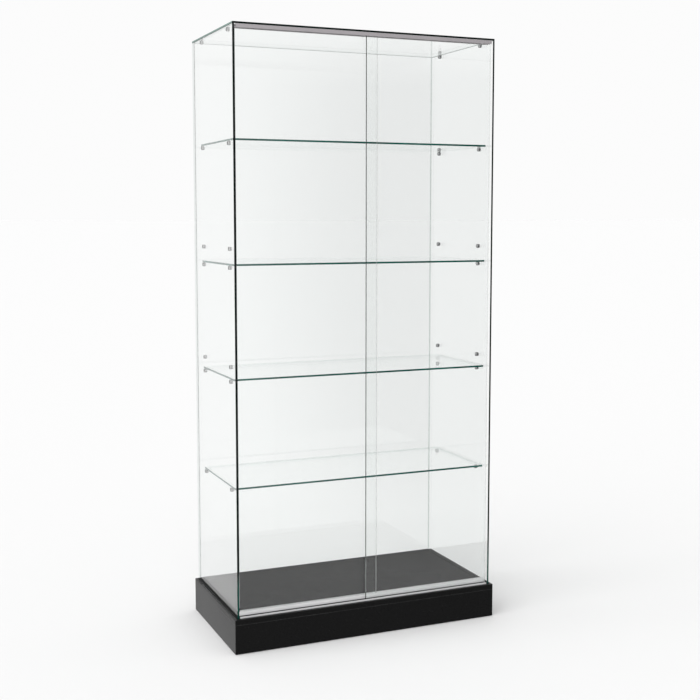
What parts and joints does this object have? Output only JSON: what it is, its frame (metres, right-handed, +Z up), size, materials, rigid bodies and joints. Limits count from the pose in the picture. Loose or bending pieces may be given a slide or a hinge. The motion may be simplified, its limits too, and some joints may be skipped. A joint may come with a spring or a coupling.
{
  "type": "display case",
  "caption": "Tall free-standing glass display case with loose glass shelves on studs, two bypass sliding glass doors and a black plinth.",
  "frame": {"origin": "on the floor, under the middle of the plinth", "axes": "+Z up; -Y is the front with the doors; +X is the right-hand side seen from the front"},
  "size_m": [0.936, 0.47, 1.98],
  "materials": {
    "laminate": "black satin laminate on board",
    "bare_board": "raw board",
    "zinc_steel": "zinc plated",
    "nylon": "black nylon",
    "float_glass": "clear float glass with ground edges",
    "black_rubber": "black rubber",
    "clear_ring": "soft translucent ring",
    "anodised": "satin anodised",
    "tape": "foam bonding tape",
    "chrome": "polished chrome plate"
  },
  "bodies": {
    "case": {"plinth_front_panel": "laminate", "plinth_back_panel": "laminate", "plinth_left_panel": "laminate", "plinth_right_panel": "laminate", "deck_panel": "laminate", "cross_brace": "bare_board", "corner_blocks": "bare_board", "deck_battens": "bare_board", "block_screws": "zinc_steel", "deck_screws": "zinc_steel", "track_screws": "zinc_steel", "leveller_stems": "zinc_steel", "leveller_inserts": "zinc_steel", "leveller_pads": "nylon", "left_side_glass": "float_glass", "right_side_glass": "float_glass", "back_glass": "float_glass", "top_glass": "float_glass", "shelf_1": "float_glass", "shelf_2": "float_glass", "shelf_3": "float_glass", "shelf_4": "float_glass", "left_gasket": "black_rubber", "right_gasket": "black_rubber", "back_gasket": "black_rubber", "door_stops": "black_rubber", "top_stud_rings": "clear_ring", "shelf_1_stud_rings": "clear_ring", "shelf_2_stud_rings": "clear_ring", "shelf_3_stud_rings": "clear_ring", "shelf_4_stud_rings": "clear_ring", "spare_high_stud_rings": "clear_ring", "spare_low_stud_rings": "clear_ring", "bottom_track": "anodised", "top_track": "anodised", "top_track_tape": "tape", "top_studs": "chrome", "shelf_1_studs": "chrome", "shelf_2_studs": "chrome", "shelf_3_studs": "chrome", "shelf_4_studs": "chrome", "spare_high_studs": "chrome", "spare_low_studs": "chrome"},
    "left_door": {"left_door_glass": "float_glass", "left_door_glides": "nylon"},
    "right_door": {"right_door_glass": "float_glass", "right_door_glides": "nylon"}
  },
  "joints": [
    {"name": "left_door_slide", "type": "slide", "parent": "case", "child": "left_door", "axis": [1, 0, 0], "range_m": [0, 0.41]},
    {"name": "right_door_slide", "type": "slide", "parent": "case", "child": "right_door", "axis": [1, 0, 0], "range_m": [-0.436, 0]}
  ]
}
